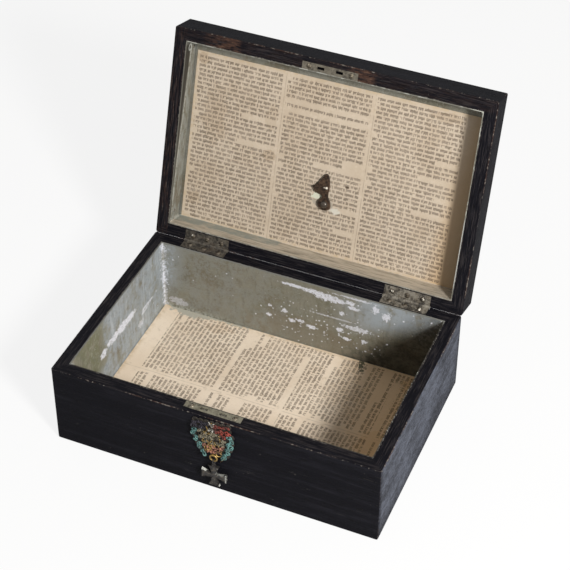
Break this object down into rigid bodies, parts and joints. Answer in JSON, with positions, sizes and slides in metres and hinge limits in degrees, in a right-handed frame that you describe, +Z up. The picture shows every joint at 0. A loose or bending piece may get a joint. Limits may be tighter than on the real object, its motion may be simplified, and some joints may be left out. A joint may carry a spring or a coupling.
{
  "type": "humidor",
  "caption": "Black wooden humidor with a hinged lid, sheet-metal linings, glued-in printed paper, a hook lock and a wire ornament with a hanging cross on the front.",
  "frame": {"origin": "centre of the underside", "axes": "+X to the right seen from the front, +Y to the back with the hinges, +Z up; the lid stands open at its stop"},
  "size_m": [0.26, 0.2548, 0.2381],
  "materials": {
    "black_wood": "black stained, worn satin",
    "base_wood": "stained, dull",
    "sheet_metal": "tarnished dull zinc grey",
    "print_paper": "aged, printed, matt",
    "hinge_brass": "worn, tarnished",
    "plate_metal": "worn satin",
    "screw_metal": "slotted, worn",
    "lock_steel": "plain",
    "clip_bronze": "dark bronze",
    "ornament_brass": "gilded, worn",
    "enamel_dark": "enamel, semi-gloss",
    "enamel_white": "enamel, semi-gloss",
    "enamel_red": "enamel, semi-gloss",
    "enamel_cream": "enamel, semi-gloss",
    "enamel_pink": "enamel, semi-gloss",
    "enamel_teal": "enamel, semi-gloss",
    "silver": "polished silver",
    "cross_black": "black, satin"
  },
  "bodies": {
    "box": {"front_wall": "black_wood", "back_wall": "black_wood", "left_wall": "black_wood", "right_wall": "black_wood", "base_board": "base_wood", "body_lining": "sheet_metal", "floor_paper": "print_paper", "left_hinge_body_leaf": "hinge_brass", "left_hinge_pin": "hinge_brass", "right_hinge_body_leaf": "hinge_brass", "right_hinge_pin": "hinge_brass", "body_leaf_screws": "screw_metal", "lock_screws": "screw_metal", "lock_plate": "plate_metal", "lock_case": "lock_steel", "ornament_backing": "ornament_brass", "ornament_dark_loops": "enamel_dark", "ornament_white_loops": "enamel_white", "ornament_red_loops": "enamel_red", "ornament_cream_loops": "enamel_cream", "ornament_pink_loops": "enamel_pink", "ornament_scrolls": "enamel_teal", "ornament_pin": "ornament_brass", "pendant_eye": "ornament_brass"},
    "lid": {"lid_top": "black_wood", "lid_front_rail": "black_wood", "lid_back_rail": "black_wood", "lid_left_rail": "black_wood", "lid_right_rail": "black_wood", "lid_lining": "sheet_metal", "lid_paper": "print_paper", "lining_nails": "lock_steel", "left_hinge_lid_leaf": "hinge_brass", "right_hinge_lid_leaf": "hinge_brass", "lid_leaf_screws": "screw_metal", "strike_plate": "plate_metal", "strike_screws": "screw_metal", "clip_rivet": "clip_bronze"},
    "lift": {"lift_plate": "lock_steel"},
    "bolt": {"hook_bolt": "lock_steel"},
    "clip": {"clip_arm": "clip_bronze"},
    "ring": {"pendant_ring": "silver"},
    "cross": {"cross_core": "cross_black", "cross_rim": "silver"}
  },
  "joints": [
    {"name": "lid_hinge", "type": "hinge", "parent": "box", "child": "lid", "pos_m": [0, 0.087, 0.07185], "axis": [-1, 0, 0], "range_deg": [-107, 0]},
    {"name": "bolt_lift", "type": "slide", "parent": "box", "child": "lift", "axis": [0, 0, 1], "range_m": [0, 0.0046]},
    {"name": "bolt_shift", "type": "slide", "parent": "lift", "child": "bolt", "axis": [-1, 0, 0], "range_m": [0, 0.0026]},
    {"name": "clip_swivel", "type": "hinge", "parent": "lid", "child": "clip", "pos_m": [0.003, 0.12078, 0.11736], "axis": [0, -0.9563, 0.2924], "continuous": true},
    {"name": "ring_swing", "type": "hinge", "parent": "box", "child": "ring", "pos_m": [0.00304, -0.09035, 0.03336], "axis": [-1, 0, 0], "range_deg": [-3, 75]},
    {"name": "cross_swing", "type": "hinge", "parent": "ring", "child": "cross", "pos_m": [0.00304, -0.09035, 0.02942], "axis": [0, 1, 0], "range_deg": [-25, 25]}
  ]
}
